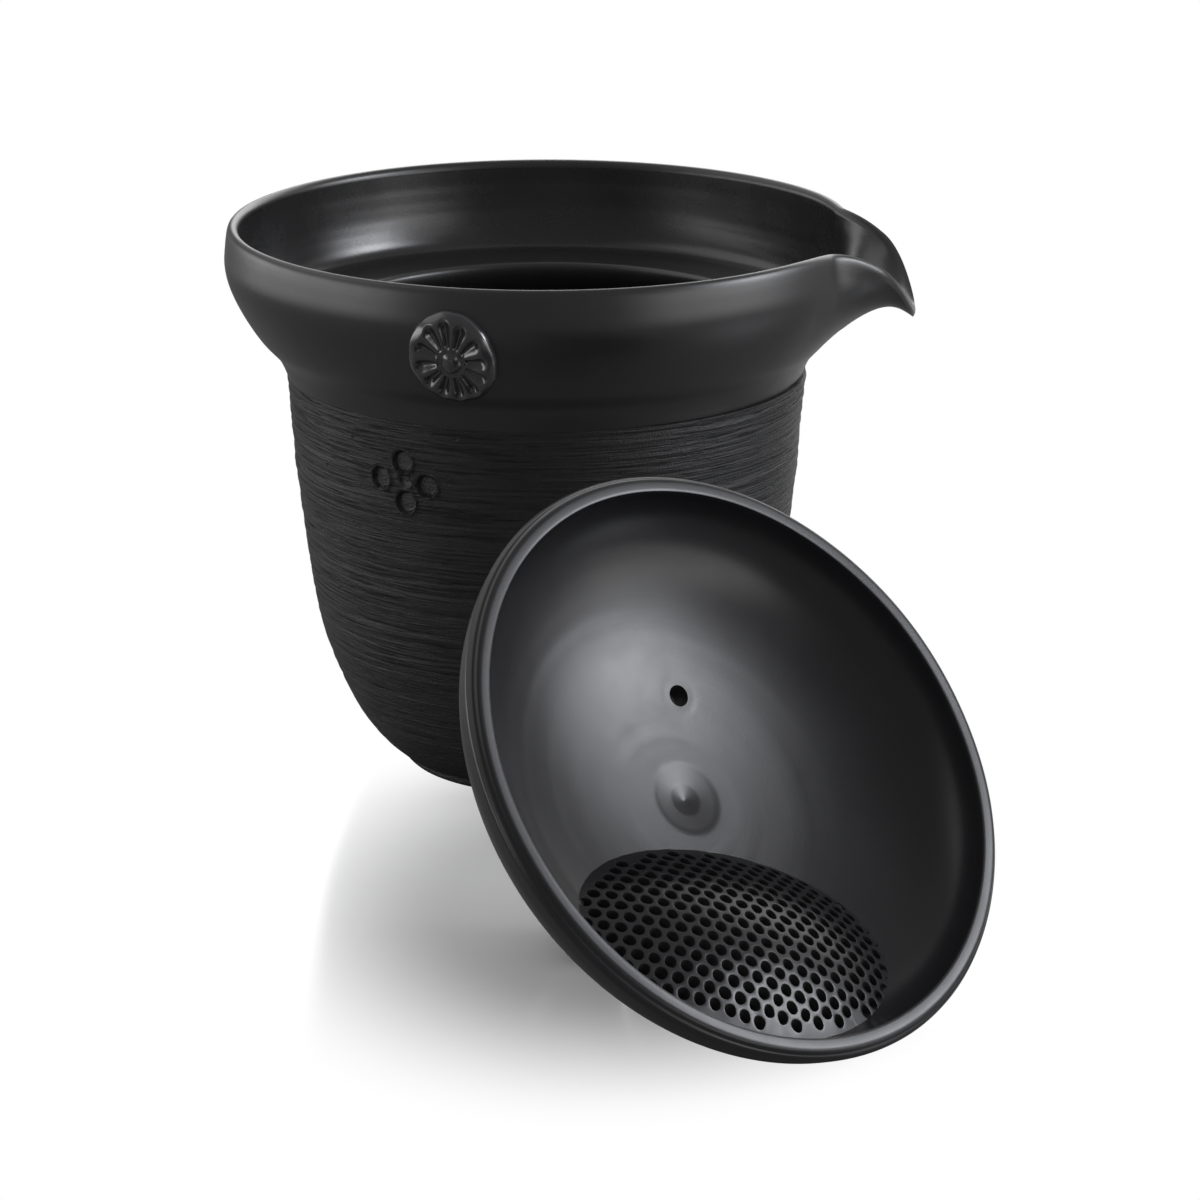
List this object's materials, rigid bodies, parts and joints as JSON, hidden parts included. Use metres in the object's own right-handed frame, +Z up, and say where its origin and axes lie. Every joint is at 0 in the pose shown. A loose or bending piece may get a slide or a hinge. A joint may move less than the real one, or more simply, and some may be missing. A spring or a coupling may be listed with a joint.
{
  "type": "teapot",
  "caption": "Handle-less black clay teapot with a wide beaked collar, its perforated strainer lid lying upturned in front of it.",
  "frame": {"origin": "bottom centre of the bounding box of the pot and its lid as they lie, on the surface they stand on", "axes": "+Z up, -Y towards the lid that lies in front of the pot, +X to the side where the beak pours"},
  "size_m": [0.1172, 0.1972, 0.0897],
  "materials": {
    "brushed_clay": "matte",
    "burnished_clay": "satin",
    "glossy_clay": "gloss"
  },
  "bodies": {
    "pot": {"pot_body": "brushed_clay", "foot_ring": "brushed_clay", "pouring_collar": "burnished_clay", "rosette_medallion": "glossy_clay"},
    "lid": {"lid_dome": "burnished_clay", "strainer_plate": "burnished_clay", "lid_knob": "burnished_clay"}
  },
  "joints": [
    {"name": "lid_lift", "type": "slide", "parent": "pot", "child": "lid", "axis": [0, 0, 1], "range_m": [0, 0.14]}
  ]
}
